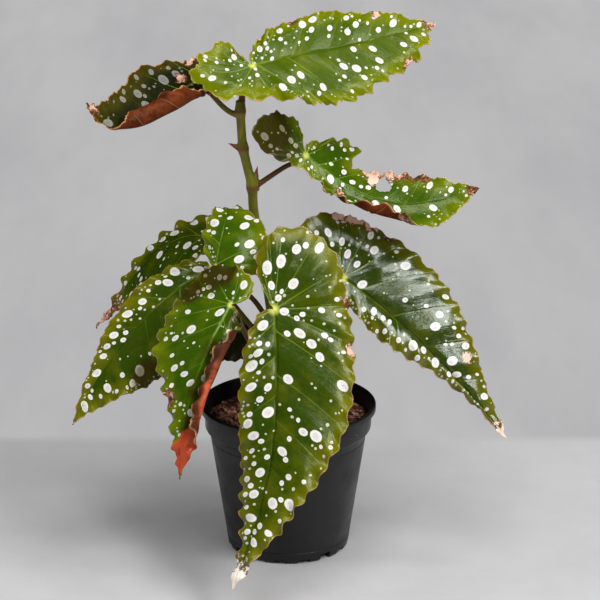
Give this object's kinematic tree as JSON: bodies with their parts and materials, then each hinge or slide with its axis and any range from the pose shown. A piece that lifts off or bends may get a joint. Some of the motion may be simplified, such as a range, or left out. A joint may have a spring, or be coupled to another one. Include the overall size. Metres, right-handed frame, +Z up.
{
  "type": "potted begonia",
  "caption": "Cane begonia with large drooping spotted leaves on jointed canes, growing in coir mix in a black plastic nursery pot.",
  "frame": {"origin": "centre of the pot's flat underside, on the surface it stands on", "axes": "+Z up, +X to the viewer's right and +Y away from the viewer in the picture's view"},
  "size_m": [0.2921, 0.1953, 0.366],
  "materials": {
    "pot": "satin black moulded plastic, fine dust in the corners",
    "soil": "coarse red-brown coir and bark chips",
    "cane": "smooth olive green to brown, paler rings at the nodes",
    "leaf_bright": "glossy yellow-green with white dots, red-brown underside",
    "leaf_deep": "glossy deep green with white dots, red-brown underside"
  },
  "bodies": {
    "root": {"pot": "pot", "soil": "soil", "main_cane": "cane", "front_cane": "cane", "leaf_top_right": "leaf_bright", "leaf_top_left": "leaf_bright", "leaf_middle_right": "leaf_bright", "leaf_front": "leaf_deep", "leaf_right": "leaf_deep", "leaf_front_left": "leaf_deep", "leaf_low_left": "leaf_deep", "leaf_upper_centre": "leaf_deep", "leaf_upper_left": "leaf_deep", "leaf_low_rear": "leaf_deep"}
  },
  "joints": []
}
